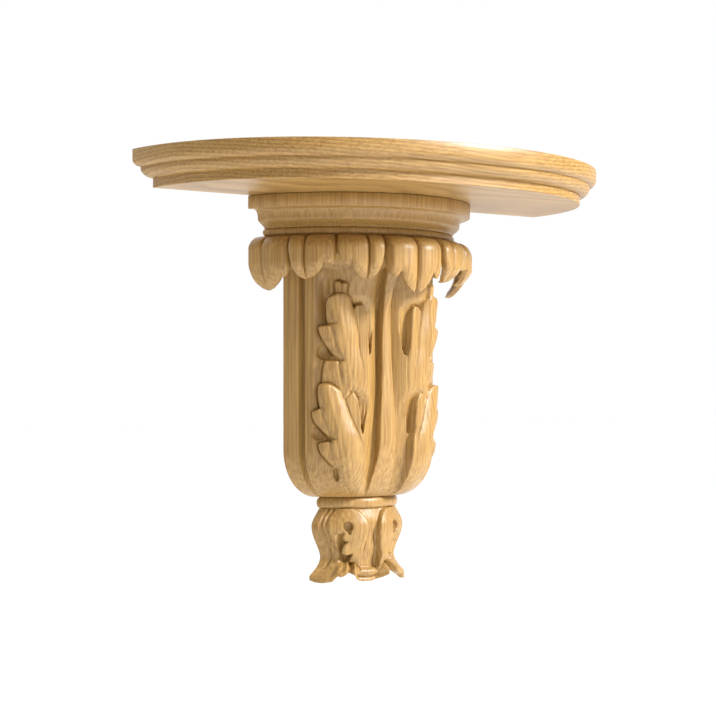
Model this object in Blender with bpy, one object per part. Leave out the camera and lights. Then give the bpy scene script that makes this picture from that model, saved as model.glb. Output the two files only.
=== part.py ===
"""Carved wall shelf in oak: a moulded board on a carved bracket with drooping leaves and two acanthus leaves.

Metres, +Z up, +Y into the wall. The origin is on the flat back, on the centre line.
"""

import math

import bmesh
import bpy

# Places: heights above the origin
UNDERSIDE_Z = 0.020
BOARD_GAP = 0.0003

# Board, seen from above as half of a rounded plan
BOARD_HALF_WIDTH = 0.220
BOARD_DEPTH = 0.181
PLAN_ROUNDNESS = 2.22
FASCIA_HEIGHT = 0.0079
OVOLO_IN = 0.0075
OVOLO_DROP = 0.0049
FILLET_IN = 0.0004
FILLET_DROP = 0.0024
COVE_IN = 0.0107
COVE_DROP = 0.0059
LOWER_FASCIA = 0.0086
ARRIS = 0.0008

# Every turned circle shares one upright axis behind the wall
AXIS_Y = 0.0287
BACK_SPARE = 0.004

# Pedestal mouldings
COLLAR_RADIUS = 0.1151
COLLAR_HEIGHT = 0.0110
OGEE_RADIUS = 0.1091
OGEE_WAIST = 0.1055
OGEE_FOOT = 0.0998
OGEE_HEIGHT = 0.0150
BEAD_RADIUS = 0.0033
BEAD_REACH = 0.1012

# Crown of drooping leaves
CROWN_DROP = 0.045
CROWN_ROOT_RADIUS = 0.0975
CROWN_BELLY_RADIUS = 0.1180
CROWN_TIP_RADIUS = 0.1005
TIP_THICKNESS = 0.0050

# Body
BODY_HEIGHT = 0.185
BODY_RADIUS = 0.0815
BOWL_HEIGHT = 0.041
HEAD_FLARE = 0.014
FLARE_ANGLE = 55.0
RIB_RECESS = 0.0090
RIB_ANGLE = 5.2
RIB_CROWNING = 0.0010
FLANK_ANGLE = 1.2
VALLEY_DEPTH = 0.0080
VALLEY_ANGLE = 19.0
SIDE_GROOVE_ANGLE = 57.0
SIDE_GROOVE_DEPTH = 0.0050
SIDE_GROOVE_WIDTH = 2.0

# Acanthus leaves on the body
LEAF_RISE = 0.0060
LEAF_ROOT = 0.0100
INNER_EDGE_DROP = 0.0015
UPPER_FOOT_SINK = 0.0068
VEIN_REACH = 8.0
HEAD_DROOP = 0.0010
UPPER_LEAF_HEIGHT = 0.0980
LOWER_LEAF_HEIGHT = 0.0900
UPPER_LEAF_DROP = 0.0030
LEAF_OVERLAP = 0.0120

# Bead under the body, then the drop
RING_HEIGHT = 0.0095
RING_RADIUS = 0.0514
NECK_RADIUS = 0.0480
DROP_HEIGHT = 0.0635
DROP_BELLY = 0.0545
DROP_WAIST = 0.0480
DROP_FLARE = 0.0570
DROP_RECESS = 0.0085
DROP_LEAF_RISE = 0.0030
NOTCH_DEPTH = 0.0060
NOTCH_RISE = 0.0110
NOTCH_ANGLE = 24.0
DROP_CAVITY = 0.0160
EYE_RADIUS = 0.0038
EYE_DEPTH = 0.0040
EYE_ANGLE = 28.0
EYE_FALL = 0.25

# Fineness
PLAN_STEPS = 42
CURVE_STEPS = 4
BODY_ROWS = 7
DROP_ROWS = 12
SMOOTH_BELOW = 32.0

PEDESTAL_FOOT = -(COLLAR_HEIGHT + OGEE_HEIGHT)
CROWN_TOP = PEDESTAL_FOOT - 2 * BEAD_RADIUS
BODY_FOOT = CROWN_TOP - CROWN_DROP * 0.76 - BODY_HEIGHT
BODY_TOP = BODY_FOOT + BODY_HEIGHT
RING_FOOT = BODY_FOOT - RING_HEIGHT
DROP_FOOT = RING_FOOT - DROP_HEIGHT


def between(start, end, share):
    return start + (end - start) * share


def ease(share):
    share = min(max(share, 0.0), 1.0)
    return share * share * (3 - 2 * share)


def bump(value, centre, width):
    """A smooth hill of height 1 at the centre, falling to 0 one width away."""
    return 1 - ease(abs(value - centre) / width)


def clear_scene():
    for thing in list(bpy.data.objects):
        bpy.data.objects.remove(thing)


def oak_material(name, colour, roughness):
    material = bpy.data.materials.new(name)
    material.use_nodes = True
    shader = material.node_tree.nodes["Principled BSDF"]
    shader.inputs["Base Color"].default_value = (*colour, 1.0)
    shader.inputs["Roughness"].default_value = roughness
    shader.inputs["Metallic"].default_value = 0.0
    return material


def new_object(name, form):
    """Turns a bmesh into an object that is shaded smooth up to its sharp edges."""
    bmesh.ops.recalc_face_normals(form, faces=form.faces)
    mesh = bpy.data.meshes.new(name)
    form.to_mesh(mesh)
    form.free()
    mesh.shade_smooth()
    mesh.set_sharp_from_angle(angle=math.radians(SMOOTH_BELOW))
    thing = bpy.data.objects.new(name, mesh)
    bpy.context.scene.collection.objects.link(thing)
    return thing


def object_from_grid(name, rows):
    """Closes a grid of points, given as rows from the top down, into one body with n-gon ends and back."""
    form = bmesh.new()
    grid = [[form.verts.new(point) for point in row] for row in rows]
    for upper, lower in zip(grid, grid[1:]):
        for index in range(len(upper) - 1):
            form.faces.new((upper[index], lower[index], lower[index + 1], upper[index + 1]))
    form.faces.new(grid[0])
    form.faces.new(grid[-1][::-1])
    left = [row[0] for row in grid]
    right = [row[-1] for row in grid]
    form.faces.new(right + left[::-1])
    return new_object(name, form)


def plan_point(angle, inset, z):
    """A point of the board's edge, at an angle from the wall's left to its right."""
    power = 2 / PLAN_ROUNDNESS
    x = math.copysign(abs(math.cos(angle)) ** power, math.cos(angle))
    y = math.sin(angle) ** power
    if math.sin(angle) < 1e-6:
        y = 0.0
    return (-(BOARD_HALF_WIDTH - inset) * x, -(BOARD_DEPTH - inset) * y, z)


def board_profile():
    """Pairs of inset and drop below the top, from the top arris down."""
    stations = [(ARRIS, 0.0), (0.0, ARRIS), (0.0, FASCIA_HEIGHT)]
    for step in range(1, CURVE_STEPS + 1):
        turn = math.radians(90 * step / CURVE_STEPS)
        stations.append((OVOLO_IN * (1 - math.cos(turn)), FASCIA_HEIGHT + OVOLO_DROP * math.sin(turn)))
    inset = OVOLO_IN + FILLET_IN
    drop = FASCIA_HEIGHT + OVOLO_DROP
    stations.append((inset, drop + ARRIS / 8))
    drop += FILLET_DROP
    stations.append((inset, drop))
    for step in range(1, CURVE_STEPS + 1):
        turn = math.radians(90 * step / CURVE_STEPS)
        stations.append((inset + COVE_IN * (1 - math.cos(turn)), drop + COVE_DROP * math.sin(turn)))
    stations.append((inset + COVE_IN, drop + COVE_DROP + LOWER_FASCIA))
    return stations


def make_board(material):
    stations = board_profile()
    thickness = stations[-1][1]
    angles = [math.pi * step / PLAN_STEPS for step in range(PLAN_STEPS + 1)]
    rows = []
    for inset, drop in stations:
        z = UNDERSIDE_Z + thickness - drop
        rows.append([plan_point(angle, inset, z) for angle in angles])
    board = object_from_grid("shelf_board", rows)
    board.data.materials.append(material)
    return board


def turned(radius, degrees, z):
    """A point on a circle about the shared axis; 0 degrees faces straight out of the wall."""
    turn = math.radians(degrees)
    return (radius * math.sin(turn), AXIS_Y - radius * math.cos(turn), UNDERSIDE_Z + z)


def last_angle(radius):
    """The angle at which a circle reaches a little behind the wall line."""
    return math.degrees(math.acos((AXIS_Y - BACK_SPARE) / radius))


def rib_half_width(z):
    """Half the middle rib's angle: wide at its head, narrow at mid height and wide again at its foot."""
    share = (BODY_TOP - z) / BODY_HEIGHT
    return RIB_ANGLE * (1 + 0.35 * bump(share, 0, 0.35) + 1.1 * bump(share, 1.0, 0.34))


def rib_recess(degrees, z):
    """How far the middle rib and the valleys beside it lie inside the body's circle."""
    half = rib_half_width(z)
    beside = abs(degrees) - half
    if beside <= 0:
        return RIB_RECESS + RIB_CROWNING * (degrees / half) ** 2
    flank = ease(beside / FLANK_ANGLE)
    foot = RIB_RECESS + RIB_CROWNING + VALLEY_DEPTH * flank
    share = min(max((beside - FLANK_ANGLE) / VALLEY_ANGLE, 0.0), 1.0)
    return foot * (1 - share) ** 1.6


def side_recess(degrees):
    """The upright groove between the plain band and the flat strip beside the wall."""
    return SIDE_GROOVE_DEPTH * bump(abs(degrees), SIDE_GROOVE_ANGLE, SIDE_GROOVE_WIDTH)


def body_relief(degrees, z):
    """The inward relief of the body, running out as the bowl draws in to the bead below."""
    fade = (bowl_radius(z) - NECK_RADIUS) / (BODY_RADIUS - NECK_RADIUS)
    return (rib_recess(degrees, z) + side_recess(degrees)) * fade


def bowl_radius(z):
    share = min(max((BODY_FOOT + BOWL_HEIGHT - z) / BOWL_HEIGHT, 0.0), 1.0)
    return RING_RADIUS + (BODY_RADIUS - RING_RADIUS) * math.sqrt(1 - share * share)


def body_radius(degrees, z):
    """The body's plain form: a straight drum that flares under the crown, most of all at the front."""
    fall = (BODY_TOP - z) / BODY_HEIGHT
    flare = HEAD_FLARE * (1 - ease(abs(degrees) / FLARE_ANGLE)) * (1 - ease(fall / 0.3))
    return bowl_radius(z) + flare


def body_columns(z):
    """Angles across the half front, from the middle line to behind the wall."""
    half = rib_half_width(z)
    foot = half + FLANK_ANGLE
    middle = [0, half * 0.55, half, foot, foot + VALLEY_ANGLE * 0.15, foot + VALLEY_ANGLE * 0.35]
    middle.append(foot + VALLEY_ANGLE * 0.62)
    groove_side = [SIDE_GROOVE_ANGLE + SIDE_GROOVE_WIDTH * share for share in (-2.0, -0.9, -0.3, 0.3, 1.0)]
    return middle + [29, 35, 41, 47] + groove_side + [62.5, 66.5]


def full_row(z, radius_at, scale=1.0, lift_at=None):
    """One row of the grid on both halves; the last point lies behind the wall."""
    half = []
    for degrees in body_columns(z):
        lift = lift_at(degrees) if lift_at else 0.0
        half.append((radius_at(degrees), degrees * scale, z + lift))
    radius = radius_at(last_angle(BODY_RADIUS))
    half.append((radius, last_angle(radius), z))
    right = [turned(radius, degrees, height) for radius, degrees, height in half]
    left = [turned(radius, -degrees, height) for radius, degrees, height in half[:0:-1]]
    return left + right


def spread(radius):
    """Keeps the columns at the same share of the arc on a larger or smaller circle."""
    return last_angle(radius) / last_angle(BODY_RADIUS)


def pedestal_rows():
    stations = [(COLLAR_RADIUS - ARRIS, -BOARD_GAP), (COLLAR_RADIUS, -BOARD_GAP - ARRIS)]
    stations.append((COLLAR_RADIUS, -COLLAR_HEIGHT))
    for step in range(CURVE_STEPS + 1):
        share = step / CURVE_STEPS
        hollow = OGEE_WAIST + (OGEE_RADIUS - OGEE_WAIST) * (1 - math.sin(math.pi / 2 * min(1, share * 2)))
        radius = hollow - (OGEE_WAIST - OGEE_FOOT) * ease(share * 2 - 1)
        stations.append((radius, -COLLAR_HEIGHT - ARRIS / 2 - (OGEE_HEIGHT - ARRIS) * share))
    for step in range(CURVE_STEPS + 1):
        turn = math.pi * step / CURVE_STEPS
        radius = BEAD_REACH - BEAD_RADIUS + BEAD_RADIUS * math.sin(turn)
        stations.append((radius, PEDESTAL_FOOT - BEAD_RADIUS * (1 - math.cos(turn))))
    return [full_row(z, lambda degrees, r=radius: r, spread(radius)) for radius, z in stations]


def crown_core_rows():
    """The solid neck behind the drooping leaves."""
    rows = []
    for step in range(1, 5):
        share = step / 5
        z = CROWN_TOP - share * (CROWN_TOP - BODY_TOP)
        radius = CROWN_ROOT_RADIUS + 0.004 * math.sin(math.pi * share) - 0.006 * share * share
        rows.append(full_row(z, lambda degrees, r=radius: r, spread(radius)))
    return rows


def body_rows():
    rows = []
    for step in range(BODY_ROWS + 1):
        z = BODY_TOP - (BODY_HEIGHT - BOWL_HEIGHT) * step / BODY_ROWS
        rows.append(full_row(z, lambda degrees, at=z: body_radius(degrees, at) - body_relief(degrees, at)))
    for step in range(1, CURVE_STEPS + 3):
        turn = math.pi / 2 * step / (CURVE_STEPS + 2)
        z = BODY_FOOT + BOWL_HEIGHT * (1 - math.sin(turn))
        radius = bowl_radius(z)
        rows.append(full_row(z, lambda degrees, at=z, r=radius: r - body_relief(degrees, at), spread(radius)))
    return rows


def ring_rows():
    rows = []
    half = RING_HEIGHT / 2
    for step in range(CURVE_STEPS + 1):
        turn = math.pi * step / CURVE_STEPS
        radius = between(NECK_RADIUS, RING_RADIUS, math.sin(turn))
        z = BODY_FOOT - half * (1 - math.cos(turn))
        rows.append(full_row(z, lambda degrees, r=radius: r, spread(radius)))
    return rows


def drop_radius(share):
    """The drop's side line: neck, belly, waist and flared tip."""
    if share < 0.25:
        return between(NECK_RADIUS + 0.001, DROP_BELLY, math.sin(math.pi / 2 * share / 0.25))
    if share < 0.66:
        return between(DROP_BELLY, DROP_WAIST, ease((share - 0.25) / 0.41))
    if share < 0.92:
        return between(DROP_WAIST, DROP_FLARE, ((share - 0.66) / 0.26) ** 1.7)
    return between(DROP_FLARE, DROP_FLARE - 0.006, (share - 0.92) / 0.08)


def between_tips(degrees):
    """1 where two flared tips of the drop part, 0 on a tip."""
    return bump(abs(degrees), NOTCH_ANGLE, NOTCH_ANGLE / 2)


def drop_relief(degrees, share):
    """Inward relief of the drop: a hollow middle and notches between the flared tips."""
    middle = DROP_RECESS * (1 - ease((abs(degrees) - 6) / 24))
    return middle + NOTCH_DEPTH * ease((share - 0.62) / 0.25) * between_tips(degrees)


def drop_lift(degrees, share):
    """The lower edge rises between the tips."""
    return NOTCH_RISE * ease((share - 0.6) / 0.4) * between_tips(degrees)


def drop_rows():
    rows = []
    for step in range(1, DROP_ROWS + 1):
        share = step / DROP_ROWS
        z = RING_FOOT - DROP_HEIGHT * share
        base = drop_radius(share)
        rows.append(
            full_row(
                z,
                lambda degrees, r=base, s=share: r - drop_relief(degrees, s),
                spread(base),
                lambda degrees, s=share: drop_lift(degrees, s),
            )
        )
    inside = DROP_WAIST - DROP_RECESS
    hollow = DROP_FOOT + DROP_CAVITY
    rows.append(full_row(hollow, lambda degrees: inside, spread(inside)))
    return rows


def make_core():
    rows = pedestal_rows() + crown_core_rows() + body_rows() + ring_rows() + drop_rows()
    return object_from_grid("carved_bracket", rows)


def crown_radius(share):
    """Outer line of a drooping leaf, from its root under the bead to its tip."""
    belly = math.sin(math.pi * min(share / 0.9, 1.0) ** 0.75)
    return between(CROWN_ROOT_RADIUS, CROWN_TIP_RADIUS, ease(share)) + (
        CROWN_BELLY_RADIUS - CROWN_ROOT_RADIUS
    ) * max(belly, 0.0)


def helper(name, form):
    thing = new_object(name, form)
    thing.hide_render = True
    thing.display_type = "WIRE"
    return thing


def closed_plate(name, outer, inner):
    """A closed plate from two matching grids of points, the outer face and the inner one."""
    form = bmesh.new()
    faces = []
    for grid in (outer, inner):
        faces.append([[form.verts.new(point) for point in row] for row in grid])
    front, back = faces
    for upper, lower in zip(front, front[1:]):
        for index in range(len(upper) - 1):
            form.faces.new((upper[index], lower[index], lower[index + 1], upper[index + 1]))
    for upper, lower in zip(back, back[1:]):
        for index in range(len(upper) - 1):
            form.faces.new((upper[index + 1], lower[index + 1], lower[index], upper[index]))
    rims = []
    for grid in faces:
        rim = list(grid[0])
        rim += [row[-1] for row in grid[1:]]
        rim += grid[-1][-2::-1]
        rim += [row[0] for row in grid[-2:0:-1]]
        rims.append(rim)
    count = len(rims[0])
    for index in range(count):
        after = (index + 1) % count
        form.faces.new((rims[0][index], rims[0][after], rims[1][after], rims[1][index]))
    return helper(name, form)


def petal(name, crease, left, right):
    """One drooping leaf. Each side is its width in degrees, its lobes as (share of width, share of drop)."""
    columns = []
    for sign, (width, tip, notch, lobe, shoulder) in ((-1, left), (1, right)):
        side = [(0.22, tip * 0.99), (0.46, tip * 0.93), (0.56, notch), (0.72, lobe), (0.90, lobe * 0.93)]
        side.append((1.0, shoulder))
        columns.append([(crease + sign * width * share, drop) for share, drop in side])
    profile = columns[0][::-1] + [(crease, left[1] * 0.98)] + columns[1]
    middle = len(columns[0])
    outer = []
    inner = []
    for step in range(7):
        share = step / 6
        front = []
        back = []
        for index, (degrees, drop) in enumerate(profile):
            reach = share * drop
            across = abs(index - middle) / middle
            swell = 0.0022 * math.sin(math.pi * min(across * 1.15, 1.0)) * math.sin(math.pi * min(share, 0.9))
            edge = 0.0035 * across ** 6
            radius = crown_radius(reach) + swell - edge
            z = CROWN_TOP + 0.0005 - CROWN_DROP * reach
            depth = between(0.024, TIP_THICKNESS, ease(share * 1.25))
            front.append(turned(radius, degrees, z))
            back.append(turned(radius - depth, degrees, z + 0.3 * depth * share))
        outer.append(front)
        inner.append(back)
    return closed_plate(name, outer, inner)


def crown_petals():
    """The middle leaf, then four leaves on each side; the outermost meets the wall."""
    whole = (14.5, 1.0, 0.62, 0.76, 0.42)
    petals = [petal("crown_leaf", 0, whole, whole)]
    plain = (8.0, 0.84, 0.78, 0.72, 0.42)
    lobed = (15.0, 0.84, 0.52, 0.60, 0.36)
    wide = (11.5, 1.0, 0.72, 0.86, 0.42)
    for sign in (-1, 1):
        near = (plain, lobed) if sign > 0 else (lobed, plain)
        far = near[::-1]
        wall = (wide, wide)
        petals.append(petal("crown_leaf", sign * 22.0, *near))
        petals.append(petal("crown_leaf", sign * 49.0, *far))
        petals.append(petal("crown_leaf", sign * 69.0, *wall))
    return petals


def lobed_plate(name, sign, top, height, lobes, inner_edge, surface, root):
    """A leaf plate: its outer edge is a row of lobes, each wide at its head and sloping back to its foot.

    A lobe is its head and foot as shares of the height, and the angle of its edge at each. The leaf's vein
    stays at one share of its width, so that only the wood outside the vein steps from lobe to lobe.
    """
    outer = []
    inner = []
    for lobe in lobes:
        for part in (0.0, 0.12, 0.45, 0.8, 0.995):
            depth = between(lobe[0], lobe[1], part)
            wide = between(lobe[2], lobe[3], part ** 1.3)
            near = inner_edge(depth)
            vein = near + min(VEIN_REACH, (wide - near) / 2)
            angles = [near, between(near, vein, 0.4), vein, between(vein, wide, 0.5), wide]
            front = []
            back = []
            for index, degrees in enumerate(angles):
                outside = max(index - 2, 0) / 2
                droop = HEAD_DROOP * outside * (1 - part)
                z = top - height * depth - droop
                radius = surface(degrees, z, index / 4, part)
                front.append(turned(radius, sign * degrees, z))
                back.append(turned(root(z), sign * degrees, z))
            outer.append(front)
            inner.append(back)
    return closed_plate(name, outer, inner)


def leaf_surface(degrees, z, across, along):
    """Radius of an acanthus tier: low at its inner edge, highest near each lobe's head."""
    outside = ease(across * 2 - 1)
    rise = LEAF_RISE * math.sin(math.pi / 2 * min(across * 1.6, 1.0)) * (1 - 0.75 * along * outside)
    return body_radius(degrees, z) + rise - INNER_EDGE_DROP * (1 - across) ** 2


def upper_leaf_surface(degrees, z, across, along):
    """The upper tier sinks back into the body towards its foot, under the head of the lower tier."""
    foot = BODY_TOP - UPPER_LEAF_DROP - UPPER_LEAF_HEIGHT
    sink = UPPER_FOOT_SINK * (1 - ease((z - foot) / (UPPER_LEAF_HEIGHT * 0.4)))
    return leaf_surface(degrees, z, across, along) - sink


def leaf_root(z):
    return bowl_radius(z) - LEAF_ROOT


def upper_inner_edge(depth):
    return between(29.0, 21.0, ease((depth - 0.08) / 0.5)) + 3 * (1 - ease(depth / 0.2))


def lower_inner_edge(depth):
    return 33.0 - 12.0 * ease((depth - 0.1) / 0.5) + 3.5 * ease((depth - 0.8) / 0.2)


def body_leaves():
    """Two tiers on each side of the rib; the lower tier starts over the foot of the upper one."""
    stub = (0.0, 0.115, 36.5, 36.5)
    upper = (stub, (0.12, 0.36, 40.5, 41.5), (0.365, 0.66, 46.2, 35.5), (0.665, 1.0, 43.0, 46.0))
    lower = ((0.0, 0.24, 46.2, 46.6), (0.245, 0.53, 50.0, 40.0), (0.535, 0.80, 46.8, 37.0))
    lower += ((0.805, 1.0, 36.0, 30.0),)
    plates = []
    upper_shape = (upper, upper_inner_edge, upper_leaf_surface, leaf_root)
    lower_shape = (lower, lower_inner_edge, leaf_surface, leaf_root)
    for sign in (-1, 1):
        head = BODY_TOP - UPPER_LEAF_DROP
        plates.append(lobed_plate("upper_leaf", sign, head, UPPER_LEAF_HEIGHT, *upper_shape))
        head -= UPPER_LEAF_HEIGHT - LEAF_OVERLAP
        plates.append(lobed_plate("lower_leaf", sign, head, LOWER_LEAF_HEIGHT, *lower_shape))
    return plates


def drop_leaf_surface(degrees, z, across, along):
    """Radius of a drop leaf, which curls out along its middle."""
    share = (RING_FOOT - z) / DROP_HEIGHT
    curl = DROP_LEAF_RISE * (1 - 0.5 * share) * math.sin(math.pi * (0.2 + 0.6 * across))
    return min(drop_radius(share), DROP_BELLY) - 0.002 * (1 - across) + curl - 0.003 * share


def drop_leaf_root(z):
    return NECK_RADIUS - 0.012


def drop_inner_edge(depth):
    """The two leaves part at the head in a V, nearly touch, then part again."""
    return 2.8 + 12.0 * (1 - ease(depth / 0.45)) ** 1.4 + 11.0 * ease((depth - 0.42) / 0.6)


def drop_leaves():
    lobes = ((0.0, 0.10, 30.0, 41.0), (0.105, 0.40, 42.0, 44.0), (0.41, 0.54, 31.5, 30.0))
    lobes += ((0.55, 0.76, 31.5, 35.0), (0.765, 1.0, 24.5, 26.5))
    top = RING_FOOT - 0.0010
    height = DROP_HEIGHT * 0.79
    shape = (lobes, drop_inner_edge, drop_leaf_surface, drop_leaf_root)
    return [lobed_plate("drop_leaf", sign, top, height, *shape) for sign in (-1, 1)]


def eye_cutters():
    """Short drills that sink the round eye of each drop leaf."""
    cutters = []
    depth = 2 * EYE_DEPTH + 0.002
    for sign in (-1, 1):
        form = bmesh.new()
        bmesh.ops.create_cone(
            form, cap_ends=True, segments=10, radius1=EYE_RADIUS, radius2=EYE_RADIUS, depth=depth
        )
        cutter = helper("drop_eye", form)
        turn = sign * math.radians(EYE_ANGLE)
        cutter.location = turned(DROP_BELLY + 0.001, sign * EYE_ANGLE, RING_FOOT - DROP_HEIGHT * EYE_FALL)
        cutter.rotation_euler = (math.radians(90), 0, turn)
        cutters.append(cutter)
    return cutters


def wall_block():
    form = bmesh.new()
    bmesh.ops.create_cube(form, size=1.0)
    size = (0.6, 0.1, 0.8)
    for corner in form.verts:
        corner.co = [corner.co[axis] * size[axis] for axis in range(3)]
        corner.co.y += size[1] / 2
    return helper("wall_block", form)


def boolean_modifier(thing, name, operation):
    modifier = thing.modifiers.new(name, "BOOLEAN")
    modifier.operation = operation
    return modifier


def boolean_group(thing, name, operation, others):
    """One Boolean with every body of a group at once."""
    group = bpy.data.collections.new(name)
    bpy.context.scene.collection.children.link(group)
    for other in others:
        bpy.context.scene.collection.objects.unlink(other)
        group.objects.link(other)
    modifier = boolean_modifier(thing, name, operation)
    modifier.operand_type = "COLLECTION"
    modifier.collection = group


def make_bracket(material):
    bracket = make_core()
    bracket.data.materials.append(material)
    boolean_group(bracket, "carving", "UNION", crown_petals() + body_leaves() + drop_leaves())
    boolean_group(bracket, "drilled_eyes", "DIFFERENCE", eye_cutters())
    boolean_modifier(bracket, "flat_back", "DIFFERENCE").object = wall_block()
    return bracket


def main():
    clear_scene()
    honey = (0.62, 0.40, 0.20)
    make_board(oak_material("board_oak", honey, 0.42))
    make_bracket(oak_material("bracket_oak", honey, 0.45))


main()
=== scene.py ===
import math

import bpy
import numpy as np
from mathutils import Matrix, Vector


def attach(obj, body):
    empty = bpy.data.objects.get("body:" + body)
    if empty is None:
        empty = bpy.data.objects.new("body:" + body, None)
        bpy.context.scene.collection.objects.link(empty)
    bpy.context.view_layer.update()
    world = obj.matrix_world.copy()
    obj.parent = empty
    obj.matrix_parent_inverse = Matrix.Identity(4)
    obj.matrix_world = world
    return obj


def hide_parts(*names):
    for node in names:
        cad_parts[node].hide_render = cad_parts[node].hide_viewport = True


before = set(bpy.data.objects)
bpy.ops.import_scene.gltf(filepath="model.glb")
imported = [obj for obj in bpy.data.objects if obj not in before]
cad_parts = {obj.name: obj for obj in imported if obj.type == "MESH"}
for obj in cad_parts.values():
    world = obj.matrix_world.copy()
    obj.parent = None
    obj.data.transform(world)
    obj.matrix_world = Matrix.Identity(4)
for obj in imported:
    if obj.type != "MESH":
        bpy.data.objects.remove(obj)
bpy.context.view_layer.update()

# The shelf's carving is worked out in millimetres and degrees: depth counts down from the board's
# underside, and angles turn about the upright axis behind the wall that all the turned circles share.
MM = 0.001
UNDERSIDE = 20.0
AXIS_Y = 28.7


# Helpers for shapes

def between(start, end, share):
    """From start at share 0 to end at share 1."""
    return start + (end - start) * share


def ease(share):
    """A smooth step from 0 to 1."""
    share = np.clip(share, 0.0, 1.0)
    return share * share * (3 - 2 * share)


def bump(value, centre, width):
    """A smooth hill of height 1 at the centre, falling to 0 one width away."""
    return 1 - ease(np.abs(value - centre) / width)


def stations(value, *pairs):
    """Smooth steps through pairs of place and height."""
    places = [pair[0] for pair in pairs]
    heights = [pair[1] for pair in pairs]
    result = np.full(np.shape(value), float(heights[0]))
    for index in range(len(places) - 1):
        share = (value - places[index]) / (places[index + 1] - places[index])
        result = result + (heights[index + 1] - heights[index]) * ease(share)
    return result


def straight(value, *pairs):
    """Straight lines through pairs of place and height."""
    return np.interp(value, [pair[0] for pair in pairs], [pair[1] for pair in pairs])


def soften(field, passes):
    """Rounds every edge of a height field a little, as sanding does."""
    for _ in range(passes):
        padded = np.pad(field, 1, mode="edge")
        field = (padded[:-2, 1:-1] + padded[2:, 1:-1] + 2 * field) / 4
        padded = np.pad(field, 1, mode="edge")
        field = (padded[1:-1, :-2] + padded[1:-1, 2:] + 2 * field) / 4
    return field


def curve(start, end, bulge, steps=7):
    """Points from start towards end on a bowed line; a positive bulge bows to the left of the way."""
    start = np.array(start, float)
    end = np.array(end, float)
    along = end - start
    aside = np.array((along[1], -along[0]))
    shares = np.arange(steps)[:, None] / steps
    return start + along * shares + aside * bulge * 4 * shares * (1 - shares)


def outline(corners):
    """A closed line through corners, each with the bulge of the stretch that follows it."""
    pieces = []
    for index, (x, y, bulge) in enumerate(corners):
        after = corners[(index + 1) % len(corners)]
        steps = 7 if bulge else 1
        pieces.append(curve((x, y), after[:2], bulge, steps))
    return np.concatenate(pieces)


def inside_distance(line, x, y):
    """Distance to a closed line, positive inside it, for grids of points x and y."""
    reach = 8.0
    best = np.full(x.shape, reach * reach)
    crossing = np.zeros(x.shape, bool)
    for first, second in zip(line, np.roll(line, -1, axis=0)):
        step = second - first
        length = max(float(step @ step), 1e-9)
        share = np.clip(((x - first[0]) * step[0] + (y - first[1]) * step[1]) / length, 0, 1)
        away = (x - first[0] - share * step[0]) ** 2 + (y - first[1] - share * step[1]) ** 2
        best = np.minimum(best, away)
        spans = (first[1] > y) != (second[1] > y)
        rise = step[1] if abs(step[1]) > 1e-9 else 1e-9
        crossing ^= spans & (x < first[0] + (y - first[1]) * step[0] / rise)
    return np.where(crossing, 1, -1) * np.sqrt(best)


# The body under the crown: its drum, the bowl it ends in and the wall it stands against

DRUM_RADIUS = 81.5
RING_REACH = 51.4
CORE_RADIUS = 50.0
BOWL_TOP = 211.0
FRONT_BOWL_TOP = 203.0
BODY_FOOT = 252.0
WALL_ANGLE = 69.4
MM_PER_DEGREE = 1.45


def bowl_share(depth, top, power):
    """1 on the drum, then less down the rounded curve that draws it in to the bead below."""
    share = np.clip((depth - top) / (BODY_FOOT - top), 0, 1)
    radius = RING_REACH + (DRUM_RADIUS - RING_REACH) * (1 - share ** power) ** (1 / power)
    return (radius - CORE_RADIUS) / (DRUM_RADIUS - CORE_RADIUS)


# The rib in the middle, the valley beside it and the plain band by the wall

RIB_CENTRE = 71.8
RIB_SPREAD = 2.6
RIB_CROWNING = 0.9
RIB_FLANK = 0.7
VALLEY_FLOOR = 63.6
VALLEY_START = 4.5
HIGH_VALLEY = {"rise": 19.0, "width": 10.0, "power": 1.5}
LOW_VALLEY = {"rise": 16.5, "width": 16.0, "power": 1.6}
BAND_LINE = ((29, 82.5), (34, 82.0), (41, 80.6), (46, 80.4), (50.5, 82.6), (54.5, 81.8))
WALL_GROOVE_ANGLE = 57.2
WALL_GROOVE_HALF_WIDTH = 2.1
WALL_GROOVE_DEPTH = 5.2
BAND_HOLLOW_DEPTH = 3.6


def rib_half_angle(depth):
    """Half the middle rib: slim under the crown, broad at the foot."""
    width = stations(depth, (60, 5.4), (85, 4.1), (125, 5.2), (205, 8.4), (251, 13.4))
    return np.degrees(np.arcsin(width / 72))


def rib_rise(depth):
    """How much further out the rib stands towards its foot."""
    return RIB_SPREAD * ease((depth - 115) / 85)


def valley_side(reach, rise, width, power):
    """One side of the valley: it climbs from the floor and levels off beyond its width."""
    return rise * (1 - np.exp(-(reach / width) ** power))


def valley_radius(angle, depth):
    """From the rib's foot the wood rises in one smooth valley to the leaf; it is broader lower down."""
    reach = np.clip(angle - VALLEY_START, 0, None)
    high = valley_side(reach, **HIGH_VALLEY)
    low = valley_side(reach, **LOW_VALLEY)
    floor = VALLEY_FLOOR + rib_rise(depth) * (1 - ease(reach / 10))
    return floor + between(high, low, ease((depth - 150) / 55))


def band_radius(angle, depth):
    """From the leaf out to the wall: plain rounded band, upright groove and flat strip."""
    radius = stations(angle, *BAND_LINE)
    aside = np.abs(angle - WALL_GROOVE_ANGLE) / WALL_GROOVE_HALF_WIDTH
    groove = WALL_GROOVE_DEPTH * np.clip(1 - aside ** 2, 0, 1) ** 1.1
    hollow = BAND_HOLLOW_DEPTH * bump(angle, 43.0, 4.6)
    hollow = hollow * ease((depth - 60) / 14) * (1 - ease((depth - 100) / 16))
    return radius - groove - hollow


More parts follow.
